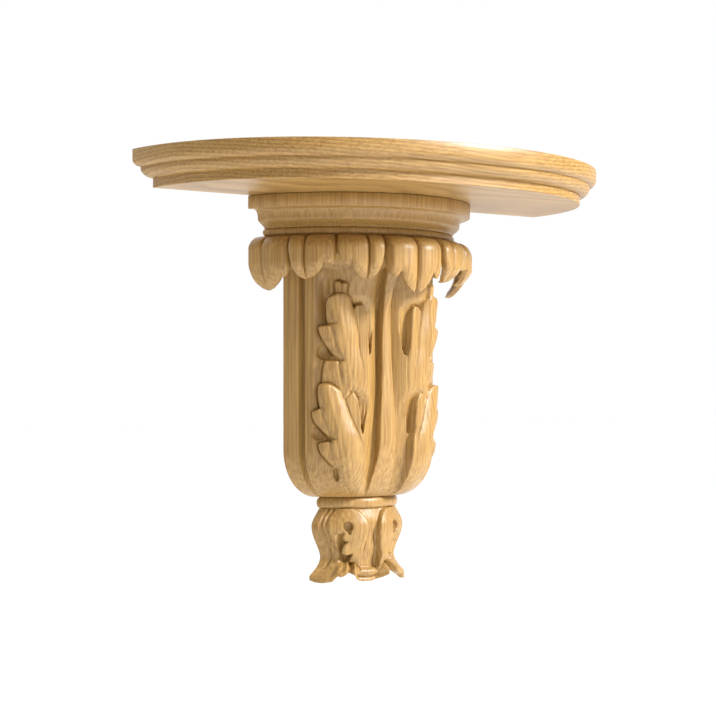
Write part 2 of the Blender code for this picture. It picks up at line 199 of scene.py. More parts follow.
def body_base(angle, depth):
    """The body without its leaves."""
    rib_edge = rib_half_angle(depth)
    rib_face = RIB_CENTRE + rib_rise(depth) - RIB_CROWNING * np.clip(angle / rib_edge, 0, 1.2) ** 4
    valley = valley_radius(angle, depth)
    radius = between(rib_face, valley, ease((angle - rib_edge + RIB_FLANK * 0.3) / RIB_FLANK))
    outer = ease((angle - 27) / 5)
    return between(radius, band_radius(angle, depth), outer)


# Hollows beside the leaves. A trough has a middle angle, a top and a foot, and its floor's radius from
# top to foot. An oval scoop has a middle, half sizes in millimetres, a tilt in degrees and a depth.

UPPER_TROUGH = (14.6, 82, 131.5, (92, 73.5), (124, 70.8))
LOWER_TROUGH = (19.4, 158, 198.5, (164, 75.5), (190, 71.0))
OUTER_SCOOPS = (
    ((42.0, 128.5), (9.5, 6.8), 28, 4.6),
    ((46.0, 196.5), (7.5, 6.8), 20, 3.2),
)
LEAF_EYES = (
    ((14.4, 125.0), (2.6, 4.2), 10, 3.0),
    ((19.8, 192.5), (2.6, 4.4), 10, 3.0),
    ((37.2, 232.0), (2.5, 6.0), 6, 5.5),
)


def scoop(angle, depth, centre, size, tilt, sink, power=0.5):
    """A crisp oval hollow; its half sizes are in millimetres of arc and of depth."""
    x = (angle - centre[0]) * MM_PER_DEGREE
    y = depth - centre[1]
    turn = math.radians(tilt)
    along = (x * math.cos(turn) + y * math.sin(turn)) / size[0]
    across = (-x * math.sin(turn) + y * math.cos(turn)) / size[1]
    return sink * np.clip(1 - along ** 2 - across ** 2, 0, 1) ** power


def lower_of(first, second, blend):
    """The smaller of two heights, with a rounded meeting."""
    return (first + second - np.sqrt((first - second) ** 2 + blend ** 2)) / 2


def inner_trough(radius, angle, depth, centre, top, foot, *floor_line):
    """Sinks the wood inside a leaf's inner lobe; soft on the rib's side and crisp at its rounded foot."""
    across = np.clip(1 - ((angle - centre - 1.2) / 2.8) ** 2, 0, 1)
    end = foot - 4.5 * (1 - np.sqrt(across)) - 7.0 * np.clip(centre - 1.0 - angle, 0, 6)
    share = ease((depth - top) / 14) * ease((end - depth) / 1.6 + 0.5) * (1 - ease((angle - 27) / 3))
    share = share * ease((angle - centre + 5.4) / 5.6)
    floor = straight(depth, *floor_line)
    return between(radius, lower_of(radius, floor, 5.0), share)


# The two tiers of a leaf on the right half of the front. An outline's corners are angle, depth and the
# bulge of the stretch that follows. The other rows give radius by depth, ridges by vein, width and height,
# and lobes by head, foot, and radius at each.

UPPER_LINE = outline((
    (30.2, 81.4, 0), (30.4, 77.5, -0.06), (29.8, 73.6, 0.16), (31.6, 71.6, 0.10), (33.3, 72.3, 0),
    (34.2, 70.6, 0.14), (36.8, 70.8, 0.10), (36.9, 76.0, 0), (36.7, 81.2, 0), (40.4, 83.6, 0.08),
    (42.2, 95.0, 0.03), (41.4, 107.0, 0), (40.0, 107.4, 0.06), (46.4, 108.6, 0.03), (45.4, 116.0, 0.04),
    (34.2, 138.3, 0), (35.4, 136.4, 0.08), (42.8, 136.6, 0.03), (44.6, 153.0, 0), (46.0, 160.0, 0),
    (46.0, 176.0, 0), (19.5, 200.0, 0), (16.4, 172.0, 0), (14.8, 150.0, 0), (15.2, 129.0, 0),
    (16.3, 117.0, 0), (17.0, 104.0, 0.06), (19.8, 89.4, 0.05), (24.4, 90.2, 0), (25.8, 92.6, 0),
    (26.4, 90.6, 0.05),
))
UPPER_LEAF = {
    "fan": (95, 0.07, 0.008, 25),
    "face": ((70, 86.4), (84, 88.9), (110, 88.0), (132, 86.0), (152, 83.2), (167, 80.6), (190, 77.6)),
    "foot": ((84, 81.4), (130, 80.4), (150, 79.8), (190, 77.0)),
    "ridges": ((30.0, 2.6, 0.30), (34.5, 2.2, 0.35), (38.4, 2.4, 0.30)),
    "side_vein": (41.4, 104),
    "lobes": ((70, 81.2, 86.2, 86.4), (81.2, 107, 89.4, 84.2), (107, 137.5, 89.0, 82.2),
              (137.5, 175, 85.2, 81.5)),
    "edge_start": 35,
}
STUB_RADIUS = 86.0
STUB_GROOVE = 33.5
STUB_MIDDLE = 33.6
STUB_HALF_WIDTH = 3.6
STUB_FOOT = 80.2
LOWER_LINE = outline((
    (46.2, 156.6, 0.03), (46.8, 167.0, 0.02), (45.8, 176.6, 0), (50.2, 179.6, 0.04), (48.6, 188.5, 0.03),
    (39.4, 202.6, 0), (38.6, 204.0, 0.05), (46.8, 206.0, 0.04), (45.2, 214.0, 0.04), (36.8, 226.5, 0.02),
    (31.5, 240.0, 0.02), (27.0, 252.0, 0), (20.5, 252.0, 0), (18.6, 238.0, 0), (17.9, 220.0, 0),
    (18.4, 204.0, 0), (20.2, 197.0, 0), (21.2, 182.0, 0), (22.6, 170.0, 0.06), (26.4, 162.6, 0),
    (32.2, 168.2, 0), (34.0, 162.4, 0.06), (40.0, 156.4, 0.04),
))
LOWER_LEAF = {
    "fan": (168, 0.12, 0.0075, 32),
    "face": ((155, 88.6), (180, 87.6), (205, 86.2), (235, 83.4), (252, 82.0)),
    "foot": ((160, 82.0), (200, 81.0), (252, 79.0)),
    "ridges": ((35.0, 2.6, 0.30), (39.5, 2.2, 0.35), (43.4, 2.6, 0.30)),
    "side_vein": (46.6, 172),
    "lobes": ((155, 177, 88.4, 85.0), (177, 203, 89.0, 82.4), (203, 227, 87.8, 82.0),
              (227, 252, 82.8, 81.8)),
    "edge_start": 40,
}
PILLOW_REACH = 11.0
SIDE_VEIN_DEPTH = 1.1


def fan(angle, depth, top, lean, spread, middle):
    """A number that stays the same along a vein: veins lean inwards, the outer ones most."""
    return angle + (lean + spread * (angle - middle)) * (depth - top)


def lobe_radius(depth, *lobes):
    """Radius along the outer edge: each lobe stands proud at its head and sinks to its foot."""
    radius = np.full(np.shape(depth), float(lobes[-1][3]))
    for head, foot, proud, sunk in reversed(lobes):
        share = np.clip((depth - head) / (foot - head), 0, 1)
        radius = np.where(depth < foot, between(proud, sunk, share ** 1.2), radius)
    return radius


def ridges(vein, crests):
    """Shallow rounded ridges that run down the leaf along its veins."""
    height = 0.0
    for place, width, rise in crests:
        height = height + rise * bump(vein, place, width)
    return height


def sunk_edge(main, edge, vein, start, distance):
    """Each lobe sinks from the leaf's face to its own edge near the outline."""
    share = ease(1 - distance / 8.0) * ease((vein - start) / 4)
    return between(main, np.minimum(main, edge), share)


def swelling(angle, start, reach):
    """0 at a vein, rising like a pillow to 1."""
    return np.sin(np.pi / 2 * np.clip((angle - start) / reach, 0, 1))


def upper_vein(depth):
    """The line down from the notch that parts the inner lobe from the leaf's face."""
    return stations(depth, (88, 26.2), (121, 23.0), (148, 19.6), (192, 16.6))


def lower_vein(depth):
    """The same line on the lower leaf."""
    return straight(depth, (160, 33.6), (168, 31.8), (186, 27.0), (198, 23.0), (212, 20.4), (252, 19.4))


def vein_cut(angle, start):
    """A fine cut along a vein, 1 at its bottom."""
    return np.clip(1 - np.abs(angle - start) / 0.9, 0, 1)


def leaf_face(angle, depth, distance, start, leaf):
    """A leaf's outer part: a pillow between its vein and its lobed edge, with ridges and a side vein."""
    vein = fan(angle, depth, *leaf["fan"])
    face = straight(depth, *leaf["face"])
    foot = straight(depth, *leaf["foot"])
    main = foot + (face - foot) * swelling(angle, start, PILLOW_REACH)
    main = main + ridges(vein, leaf["ridges"])
    side_vein, side_top = leaf["side_vein"]
    main = main - SIDE_VEIN_DEPTH * bump(vein, side_vein, 1.6) * ease((depth - side_top) / 8)
    edge = lobe_radius(depth, *leaf["lobes"])
    return sunk_edge(main, edge, vein, leaf["edge_start"], distance)


def upper_leaf(angle, depth, distance):
    """The upper leaf: a small stub, the lobed face and an inner lobe that runs out into the valley."""
    start = upper_vein(depth)
    face = leaf_face(angle, depth, distance, start, UPPER_LEAF)
    stub = STUB_RADIUS - 1.4 * bump(angle, STUB_GROOVE, 0.9)
    stub = stub - 1.0 * ((angle - STUB_MIDDLE) / STUB_HALF_WIDTH) ** 2
    face = between(stub, face, ease((depth - STUB_FOOT) / 1.6))
    low = valley_radius(angle, depth)
    inner = between(79.6 + 0.8 * ease((angle - 19) / 6), low + 0.3, ease((depth - 118) / 22))
    crease = vein_cut(angle, start) * (1 - 0.6 * ease((depth - 120) / 45))
    return between(inner, np.maximum(face, low), ease((angle - start + 0.5) / 1.2)) - crease


def lower_leaf(angle, depth, distance):
    """The lower leaf: the lobed face, which runs down into the bowl, and a short inner lobe."""
    start = lower_vein(depth)
    face = leaf_face(angle, depth, distance, start, LOWER_LEAF)
    inner = 80.2 + 1.4 * ease((angle - 22) / 8)
    crease = 1.1 * vein_cut(angle, start) * (1 - ease((depth - 196) / 12))
    return between(inner, face, ease((angle - start + 0.5) / 1.2)) - crease


def lay_on(radius, leaf, distance, angle):
    """Lays a leaf over what is below it, with an upright edge and a fine cut along its outer side."""
    cover = ease(distance / 0.9 + 0.5)
    rounding = 1.1 * np.clip(1 - distance / 2.2, 0, 1) ** 2
    cut = 1.5 * bump(distance, -0.7, 1.0) * ease((leaf - radius) / 2.5) * ease((angle - 18) / 6)
    return between(radius - cut, np.maximum(leaf - rounding, radius - 0.6), cover)


def body_field(angle, depth):
    """Radius of the carved body for grids of angle and depth, before the bowl draws it in."""
    x = angle * MM_PER_DEGREE
    scale = np.array((MM_PER_DEGREE, 1.0))
    radius = inner_trough(body_base(angle, depth), angle, depth, *UPPER_TROUGH)
    for hollow in OUTER_SCOOPS:
        radius = radius - scoop(angle, depth, *hollow)
    upper = inside_distance(UPPER_LINE * scale, x, depth)
    radius = lay_on(radius, upper_leaf(angle, depth, upper), upper, angle)
    radius = inner_trough(radius, angle, depth, *LOWER_TROUGH)
    lower = inside_distance(LOWER_LINE * scale, x, depth)
    radius = lay_on(radius, lower_leaf(angle, depth, lower), lower, angle)
    return radius - sum(scoop(angle, depth, *eye) for eye in LEAF_EYES)


def flare(angle, depth):
    """The body spreads under the crown, most of all at the front."""
    rise = np.clip((100 - depth) / 38, 0, 1.35)
    return 10.0 * rise ** 2 * (1 - ease(angle / 55))


def body_radius(angle, depth):
    """The whole body: the carving drawn in towards the bead by the bowl, earlier at the front."""
    field = body_field(angle, depth)
    side = bowl_share(depth, BOWL_TOP, 2.0)
    front = bowl_share(depth, FRONT_BOWL_TOP, 1.5)
    draw = between(front, side, ease((angle - 6) / 18))
    return CORE_RADIUS + (field - CORE_RADIUS) * draw + flare(angle, depth)


# The drop under the bead. Its lines are radius by depth, its furrows angle by depth, and its lower edge
# depth by angle.

DROP_TOP = 261.8
DROP_FOOT = 324.7
DROP_MM_PER_DEGREE = 0.92
SIDE_PETAL = ((256.0, 48.0), (277.0, 56.0), (305.0, 48.4))
TIP_FLARE = 8.6
MIDDLE_PETAL = ((258, 47.0), (274, 50.0), (292, 47.0), (309.5, 42.0), (316, 41.0))
ROLL_DEPTH = 317.0
ROLL_HALF_HEIGHT = 4.3
OUTER_FURROW = ((262, 46.4), (269, 48.9), (277, 49.1), (284, 48.1), (297, 45.3), (305, 46.8), (311, 49.1),
                (316, 53.2), (320, 58.0))
INNER_FURROW = ((262, 41.1), (268, 44.6), (277, 45.0), (285, 43.7), (293, 40.9), (299, 38.9))
FURROW_HALF_WIDTH = 2.4
DROP_LEAF = ((260, 51.6), (277, 56.0), (300, 52.2), (316, 48.4))
LOWER_EDGE = ((0, 324.5), (6, 324.4), (10, 323.8), (13, 322.8), (15.5, 321.6), (17.6, 319.8), (19.6, 318.0),
              (22.5, 316.6), (25.0, 316.4), (27.0, 317.0), (28.7, 318.2), (31.7, 319.6), (33.4, 318.6),
              (35.2, 319.1), (37.1, 320.9), (39.4, 323.4), (47.1, 324.5), (53, 324.0), (60, 321.4))
DROP_LINE = outline((
    (18.8, 262.2, 0), (30.0, 260.5, 0), (43.0, 261.5, 0.04), (45.5, 273.0, 0.06), (38.0, 284.6, 0),
    (30.8, 281.6, 0), (29.8, 283.0, 0.16), (31.6, 286.3, 0.12), (29.4, 289.5, 0.06), (26.7, 289.8, 0),
    (29.4, 291.3, 0.08), (33.0, 295.9, 0.07), (33.9, 300.4, 0.10), (29.4, 302.2, 0.05), (23.6, 300.9, 0),
    (24.2, 302.8, 0.06), (25.5, 307.3, 0.06), (24.9, 311.3, 0.14), (21.8, 312.4, 0), (20.4, 311.2, 0.06),
    (16.8, 312.8, 0), (13.0, 314.2, 0.02), (12.3, 302.8, 0.01), (7.7, 288.8, 0.04), (5.9, 278.2, 0.09),
    (9.6, 268.2, 0.08),
))


def drop_side(depth):
    """The side petals' line: neck, belly, waist and flared tip."""
    flare_share = np.clip((depth - 303.0) / 17.0, 0, 1.05)
    return stations(depth, *SIDE_PETAL) + TIP_FLARE * flare_share ** 1.8


def drop_middle(depth):
    """The middle petal lies deeper in and ends in a small roll with a lip under it."""
    petal_face = stations(depth, *MIDDLE_PETAL)
    roll = 40.0 + 6.0 * np.sqrt(np.clip(1 - ((depth - ROLL_DEPTH) / ROLL_HALF_HEIGHT) ** 2, 0, 1))
    lip = between(36.0, 43.5, ease((depth - 320.6) / 1.2))
    return np.maximum(np.maximum(petal_face, roll), lip)


def furrow(angle, place, sink):
    """A rounded groove along a line."""
    return sink * np.clip(1 - ((angle - place) / FURROW_HALF_WIDTH) ** 2, 0, 1) ** 1.5


def drop_base(angle, depth):
    """The drop without its leaves: a middle petal, deep notches, and S-shaped furrows on the sides."""
    radius = between(drop_middle(depth), drop_side(depth), ease((angle - 10) / 13))
    under_leaf = 5.6 * bump(angle, 30, 9) * ease((depth - 281) / 5) * (1 - ease((depth - 306) / 9))
    notch = 9.0 * ease((depth - 299) / 7) * bump(angle, 22.8, 4.6)
    lines = furrow(angle, straight(depth, *OUTER_FURROW), 1.5) * (1 - ease((depth - 309) / 9))
    lines = lines + furrow(angle, straight(depth, *INNER_FURROW), 1.7) * (1 - ease((depth - 292) / 14))
    return radius - under_leaf - notch - lines


def drop_leaf(angle, depth):
    """The face of the leaf on each side of the drop."""
    top = stations(depth, *DROP_LEAF)
    return top - 1.2 * ((angle - 24) / 22) ** 2 + 0.8 * bump(angle, 30, 7) * ease((depth - 281) / 6)


def drop_radius(angle, depth):
    """The whole drop: its petals, the leaf laid on each side, and the hollow eye in the leaf."""
    scale = np.array((DROP_MM_PER_DEGREE, 1.0))
    distance = inside_distance(DROP_LINE * scale, angle * DROP_MM_PER_DEGREE, depth)
    blend_side = 1 - ease((angle - 32) / 9) * (1 - ease((depth - 281) / 3))
    cover = ease(distance / 0.8 + 0.5) * blend_side
    rounding = 1.0 * np.clip(1 - distance / 2.0, 0, 1) ** 2
    bead_line = 1.6 * bump(distance, -2.2, 1.0) * (angle < 16) * ease((depth - 276) / 8)
    radius = drop_base(angle, depth) - bead_line
    radius = between(radius, np.maximum(drop_leaf(angle, depth) - rounding, radius - 0.5), cover)
    share = DROP_MM_PER_DEGREE / MM_PER_DEGREE
    eye = scoop(angle * share, depth, (25.9 * share, 277.1), (4.1, 4.2), 0, 5.0, 0.25)
    eye_tail = scoop(angle * share, depth, (24.8 * share, 281.4), (1.7, 2.4), 0, 3.0, 0.4)
    return radius - np.maximum(eye, eye_tail)


def drop_lift(angle, depth):
    """The lower edge rises from the middle roll to a shallow notch and falls to the broad side tongue."""
    return (DROP_FOOT - straight(angle, *LOWER_EDGE)) * ease((depth - 298) / 27)


# Meshes. An underside row has its way in from the drop's last row and how far it lies below that row.

COLUMNS = 250
ROW_STEP = 0.5
CORE_TOP = 36.5
BOWL_ROWS = 130
RING_ROWS = 40
RING_DEPTH = 256.9
RING_HALF_HEIGHT = 4.9
RING_NECK_RADIUS = 47.6
RING_BULGE = 3.9
DROP_WALL_ANGLE = 57.5
UNDERSIDE_ROWS = ((0.8, 0.2), (3.0, 0.1), (6.0, -3.0))
UNDERSIDE_MIDDLE = (36.0, 308.0)
PEDESTAL_COLUMNS = 90


def turned_points(radius, angle, depth):
    """Points around the upright axis, in millimetres."""
    turn = np.radians(angle)
    x = radius * np.sin(turn)
    y = AXIS_Y - radius * np.cos(turn)
    z = UNDERSIDE - depth
    return np.stack(np.broadcast_arrays(x, y, z), axis=-1)


def wall_angle(radius):
    """The angle at which a circle around the axis meets the wall."""
    return np.degrees(np.arccos(AXIS_Y / radius))


def mirrored(half):
    """Both sides of the front from its right half: columns run from the left wall to the right wall."""
    left = half[:, :0:-1].copy()
    left[..., 0] *= -1
    return np.concatenate((left, half), axis=1)


def grid_faces(rows, columns, start=0, flip=False):
    """Quads between the points of a grid."""
    index = start + np.arange(rows * columns).reshape(rows, columns)
    quads = np.stack((index[:-1, :-1], index[1:, :-1], index[1:, 1:], index[:-1, 1:]), axis=-1)
    quads = quads.reshape(-1, 4)
    return quads[:, ::-1] if flip else quads


class Shell:
    """Gathers grids of points into one mesh."""

    def __init__(self):
        self.points = []
        self.quads = []
        self.fans = []
        self.count = 0

    def add_grid(self, grid, flip=False):
        """Adds a grid and gives back the numbers of its points."""
        rows, columns = grid.shape[:2]
        self.quads.append(grid_faces(rows, columns, self.count, flip))
        self.points.append(grid.reshape(-1, 3))
        index = self.count + np.arange(rows * columns).reshape(rows, columns)
        self.count += rows * columns
        return index

    def add_face(self, indices):
        self.fans.append([int(index) for index in indices])

    def add_closed(self, grid):
        """Adds a grid and closes it with a face on top, one underneath and one along the back."""
        index = self.add_grid(grid)
        self.add_face(index[0])
        self.add_face(index[-1][::-1])
        self.add_face(np.concatenate((index[:, -1], index[::-1, 0])))

    def add_turned(self, radius, depth, shares):
        """Adds a turned or carved solid from the right half of its front, shared out up to the wall."""
        grid = mirrored(turned_points(radius, shares * wall_angle(radius[:, -1:]), depth))
        grid[:, (0, -1), 1] = 0.0
        self.add_closed(grid)

    def to_object(self, name):
        points = np.concatenate(self.points) * MM
        faces = np.concatenate(self.quads).tolist() + self.fans
        mesh = bpy.data.meshes.new(name)
        mesh.from_pydata(points.tolist(), [], faces)
        mesh.update()
        thing = bpy.data.objects.new(name, mesh)
        bpy.context.scene.collection.objects.link(thing)
        return thing


def core_rows():
    """Depths of the rows of the carved core, closer together where the bowl turns under."""
    straight_part = np.arange(CORE_TOP, BOWL_TOP, ROW_STEP)
    turn = np.radians(np.linspace(0, 90, BOWL_ROWS))
    curved = BOWL_TOP + (BODY_FOOT - 0.15 - BOWL_TOP) * np.sin(turn)
    return np.concatenate((straight_part, curved))


def crown_core(depth):
    """The neck behind the drooping leaves."""
    return stations(depth, (34, 97.0), (45, 99.0), (58, 90.0), (70, 80.0))


def body_rows(shares):
    """Radius and depth of the neck behind the crown and the carved body."""
    depth = core_rows()[:, None] * np.ones_like(shares)
    angle = shares * WALL_ANGLE + 0 * depth
    radius = soften(body_radius(angle, depth), 1)
    return between(crown_core(depth), radius, ease((depth - 48) / 14)), depth


def ring_rows(shares):
    """Radius and depth of the round bead under the body."""
    turn = np.radians(np.linspace(0, 180, RING_ROWS))[:, None]
    depth = RING_DEPTH - RING_HALF_HEIGHT * np.cos(turn) + 0 * shares
    radius = RING_NECK_RADIUS + RING_BULGE * np.sin(turn) ** 0.8 + 0 * shares
    return radius, depth


def drop_rows(shares):
    """Radius and depth of the carved drop and of its underside."""
    rows = np.concatenate((np.arange(DROP_TOP + 0.1, DROP_FOOT, ROW_STEP), [DROP_FOOT]))
    level = rows[:, None] + 0 * shares
    angle = shares * DROP_WALL_ANGLE + 0 * level
    radius = soften(drop_radius(angle, level), 1)
    depth = level - drop_lift(angle, level)
    rim = radius[-1:]
    low = depth[-1:]
    middle_radius, middle_depth = UNDERSIDE_MIDDLE
    under_radius = [rim - inset for inset, _ in UNDERSIDE_ROWS] + [rim * 0 + middle_radius]
    under_depth = [low + below for _, below in UNDERSIDE_ROWS] + [low * 0 + middle_depth]
    return np.concatenate([radius] + under_radius), np.concatenate([depth] + under_depth)


def carved_core(shell):
    """Body, bead and drop as one closed solid."""
    shares = np.linspace(0, 1, COLUMNS)[None, :]
    parts = (body_rows(shares), ring_rows(shares), drop_rows(shares))
    radius = np.concatenate([part[0] for part in parts])
    depth = np.concatenate([part[1] for part in parts])
    shell.add_turned(radius, depth, shares)


def turned_profile():
    """Radius and depth down the pedestal: collar, hollow, ogee, small step and bead."""
    line = [(110.0, 0.3), (114.6, 0.3), (115.1, 0.8), (115.1, 10.9), (114.8, 11.3), (109.6, 11.35)]
    for step in range(12):
        turn = math.radians(90 * step / 11)
        line.append((109.2 - 3.4 * math.sin(turn), 11.6 + 8.4 * (1 - math.cos(turn))))
    for step in range(1, 13):
        share = step / 12
        line.append((105.8 - 6.0 * float(ease(share * 0.9 + 0.05)), 20.0 + 6.6 * share))
    line += [(99.6, 26.9), (99.0, 27.0)]
    for step in range(17):
        turn = math.pi * step / 16
        line.append((97.9 + 3.3 * math.sin(turn) ** 0.85, 30.2 - 3.2 * math.cos(turn)))
    line += [(98.4, 33.5), (99.4, 34.2), (97.5, 36.5)]
    return np.array(line)


def pedestal(shell):
    """The turned mouldings between the board and the crown."""
    line = turned_profile()
    shares = np.linspace(0, 1, PEDESTAL_COLUMNS)[None, :]
    shell.add_turned(line[:, :1] + 0 * shares, line[:, 1:] + 0 * shares, shares)


# Crown of drooping leaves

CROWN_TOP = 33.4
PETAL_COLUMNS = 37
PETAL_ROWS = 34
CROWN_ROOT = 98.5
SHOULDER = 46.0
BELLY_DEPTH = 56
PETAL_ROOT_THICKNESS = 16.0
PETAL_TIP_THICKNESS = 3.6

# The lower edge of each kind of half leaf: share of the way from crease to side, and depth.
MIDDLE_EDGE = ((0, 79.0), (0.07, 80.4), (0.20, 78.6), (0.34, 75.0), (0.47, 69.5), (0.56, 64.0),
               (0.60, 65.0), (0.68, 68.2), (0.76, 68.8), (0.86, 65.5), (0.94, 59.0), (1, 48.0))
PLAIN_EDGE = ((0, 70.6), (0.25, 69.6), (0.50, 66.6), (0.68, 60.5), (0.82, 52.0), (1, 41.0))
BEAKED_EDGE = ((0, 70.6), (0.22, 68.9), (0.38, 65.2), (0.47, 60.5), (0.50, 57.2), (0.56, 59.4),
               (0.66, 58.6), (0.80, 55.0), (0.92, 49.0), (1, 41.0))
HOOKED_EDGE = ((0, 70.2), (0.20, 69.0), (0.40, 66.0), (0.53, 61.6), (0.58, 56.4), (0.64, 57.4),
               (0.78, 57.8), (0.91, 59.2), (0.96, 54.0), (1, 44.0))
BROAD_EDGE = ((0, 78.9), (0.20, 77.6), (0.42, 74.2), (0.58, 71.0), (0.62, 68.4), (0.70, 69.4),
              (0.84, 67.0), (0.94, 61.0), (1, 50.0))
WALL_EDGE = ((0, 78.9), (0.25, 77.0), (0.5, 73.0), (1, 62.0))


def petal_line(depth, belly, tip, low):
    """Radius down a crease: a quarter round at the top, an upright belly, then in to the tip."""
    share = np.clip((depth - CROWN_TOP) / (SHOULDER - CROWN_TOP), 0, 1)
    shoulder = np.sqrt(np.clip(1 - (1 - share) ** 2, 0, 1))
    turn_in = np.clip((depth - BELLY_DEPTH) / (low - BELLY_DEPTH), 0, 1.1) ** 1.7
    return CROWN_ROOT + (belly - CROWN_ROOT) * shoulder - (belly - tip) * turn_in


def petal_grid(crease, left, right, belly, tip, relief):
    """The outer face of one leaf and its inner face, as grids of points."""
    side = np.linspace(0, 1, PETAL_COLUMNS)
    shares = np.concatenate((-side[:0:-1], side))
    across = np.abs(shares)
    widths = np.where(shares < 0, left[0], right[0])
    tips = np.where(shares < 0, straight(across, *left[1]), straight(across, *right[1]))
    down = np.linspace(0, 1, PETAL_ROWS)[:, None] ** 0.9
    depth = CROWN_TOP + (tips - CROWN_TOP) * down
    line = petal_line(depth, belly, tip, tips.max())
    top = 1 - ease((depth - CROWN_TOP) / 12)
    pillow = np.sin(np.pi * np.clip(across ** 0.85, 0, 1)) ** 0.75
    swell = relief * (3.3 + 0.8 * top) * pillow * (1 - 0.45 * ease((down - 0.7) / 0.3))
    crease_cut = relief * (1.3 + 2.2 * top) * np.clip(1 - across / 0.09, 0, 1) ** 1.4
    edge_round = (6.0 + 5.0 * top) * np.clip((across - 0.78) / 0.22, 0, 1) ** 2.0
    lip = 1.1 * np.clip((down - 0.90) / 0.10, 0, 1) ** 2
    radius = line + swell - crease_cut - edge_round - lip
    angle = crease + shares * widths
    thickness = between(PETAL_ROOT_THICKNESS, PETAL_TIP_THICKNESS, ease(down * 1.5))
    outer = turned_points(radius, angle, depth)
    inner = turned_points(radius - thickness, angle, depth - 0.8 * down)
    return outer, inner


def clipped_to_wall(grid):
    """Keeps a leaf in front of the wall."""
    grid[..., 1] = np.minimum(grid[..., 1], 0.0)
    return grid


def petal(shell, crease, left, right, belly, tip, relief=1.0):
    """Adds one drooping leaf: an outer face, an inner face and a rim between them."""
    outer, inner = petal_grid(crease, left, right, belly, tip, relief)
    front = shell.add_grid(clipped_to_wall(outer))
    back = shell.add_grid(clipped_to_wall(inner), flip=True)
    rims = []
    for index in (front, back):
        rims.append(np.concatenate((index[0], index[1:, -1], index[-1, -2::-1], index[-2:0:-1, 0])))
    rim_quads = np.stack((rims[0], np.roll(rims[0], -1), np.roll(rims[1], -1), rims[1]), axis=-1)
    shell.quads.append(rim_quads)


def crown(shell):
    """The middle leaf, two small leaves on each side of it, and a broad one against each wall."""
    # Each half leaf has its width in degrees and its lower edge.
    middle = (14.9, MIDDLE_EDGE)
    plain = (7.6, PLAIN_EDGE)
    beaked = (14.6, BEAKED_EDGE)
    hooked = (14.2, HOOKED_EDGE)
    broad = (13.6, BROAD_EDGE)
    wall = (10.0, WALL_EDGE)
    petal(shell, 0.0, middle, middle, 114.8, 112.6)
    for sign in (-1, 1):
        pairs = ((plain, beaked), (hooked, plain), (broad, wall))
        near, far, last = [pair[::sign] for pair in pairs]
        petal(shell, sign * 22.2, *near, 114.0, 106.0)
        petal(shell, sign * 49.6, *far, 113.6, 105.0)
        petal(shell, sign * 69.6, *last, 113.2, 103.0, 0.55)


# The bracket

BRACKET_TRIANGLES = 190000
SHARP_BRACKET_ANGLE = 48


def thin_out(thing, most):
    """Collapses a fine mesh to a set number of triangles and keeps it in front of the wall."""
    thing.data.calc_loop_triangles()
    count = len(thing.data.loop_triangles)
    if count <= most:
        return
    modifier = thing.modifiers.new("thin_out", "DECIMATE")
    modifier.ratio = most / count
    graph = bpy.context.evaluated_depsgraph_get()
    mesh = bpy.data.meshes.new_from_object(thing.evaluated_get(graph))
    thing.modifiers.clear()
    thing.data = mesh
    for vertex in mesh.vertices:
        vertex.co.y = min(vertex.co.y, 0.0)


def shade(thing, sharp_angle):
    """Smooth shading, with every edge sharper than the angle kept crisp."""
    thing.data.shade_smooth()
    thing.data.set_sharp_from_angle(angle=math.radians(sharp_angle))


def make_bracket():
    """The carved block under the board, as one piece."""
    shell = Shell()
    pedestal(shell)
    carved_core(shell)
    crown(shell)
    bracket = shell.to_object("bracket_carving")
    thin_out(bracket, BRACKET_TRIANGLES)
    shade(bracket, SHARP_BRACKET_ANGLE)
    return bracket


# The board

BOARD_HALF_WIDTH = 220.0
BOARD_DEPTH = 181.0
BOARD_THICKNESS = 29.7
FILLET_INSET = 7.4
LOWER_INSET = 18.6
# The power of the rounded plan at the top edge and at the lower fascia, which is a little squarer.
PLAN_ROUNDNESS = (2.05, 2.22)
PLAN_STEPS = 181
SHARP_BOARD_ANGLE = 35


def board_profile():
    """Inset and drop below the top: eased arris, fascia, ovolo, fillet, cove and lower fascia."""
    line = [(3.0, 0.0), (0.7, 0.0), (0.2, 0.2), (0.0, 0.7), (0.0, 4.0), (0.0, 8.4)]
    for step in range(1, 11):
        turn = math.radians(90 * step / 10)
        line.append((7.2 * (1 - math.cos(turn)), 8.4 + 5.4 * math.sin(turn)))
    line += [(FILLET_INSET, 13.85), (FILLET_INSET, 16.0)]
    for step in range(1, 13):
        turn = math.radians(90 * step / 12)
        line.append((FILLET_INSET + 11.2 * (1 - math.cos(turn)), 16.0 + 6.4 * math.sin(turn) ** 1.4))
    line += [(LOWER_INSET, 23.4), (LOWER_INSET, 29.2), (19.0, BOARD_THICKNESS), (22.0, BOARD_THICKNESS)]
    return np.array(line)


def make_board():
    """The board with its moulded edge: its profile carried round half of a rounded plan."""
    line = board_profile()
    inset = line[:, :1]
    turn = np.linspace(0, math.pi, PLAN_STEPS)[None, :]
    power = 2 / between(*PLAN_ROUNDNESS, ease(inset / LOWER_INSET))
    x = -np.sign(np.cos(turn)) * np.abs(np.cos(turn)) ** power
    y = -np.abs(np.sin(turn)) ** power
    y = np.where(np.sin(turn) < 1e-6, 0.0, y)
    x = (BOARD_HALF_WIDTH - inset) * x
    y = (BOARD_DEPTH - inset) * y
    z = UNDERSIDE + BOARD_THICKNESS - line[:, 1:]
    shell = Shell()
    shell.add_closed(np.stack(np.broadcast_arrays(x, y, z), axis=-1))
    board = shell.to_object("board_moulded")
    shade(board, SHARP_BOARD_ANGLE)
    return board


# Oak. Tones are linear colours of early wood, the middle of a ring, late wood and pores.

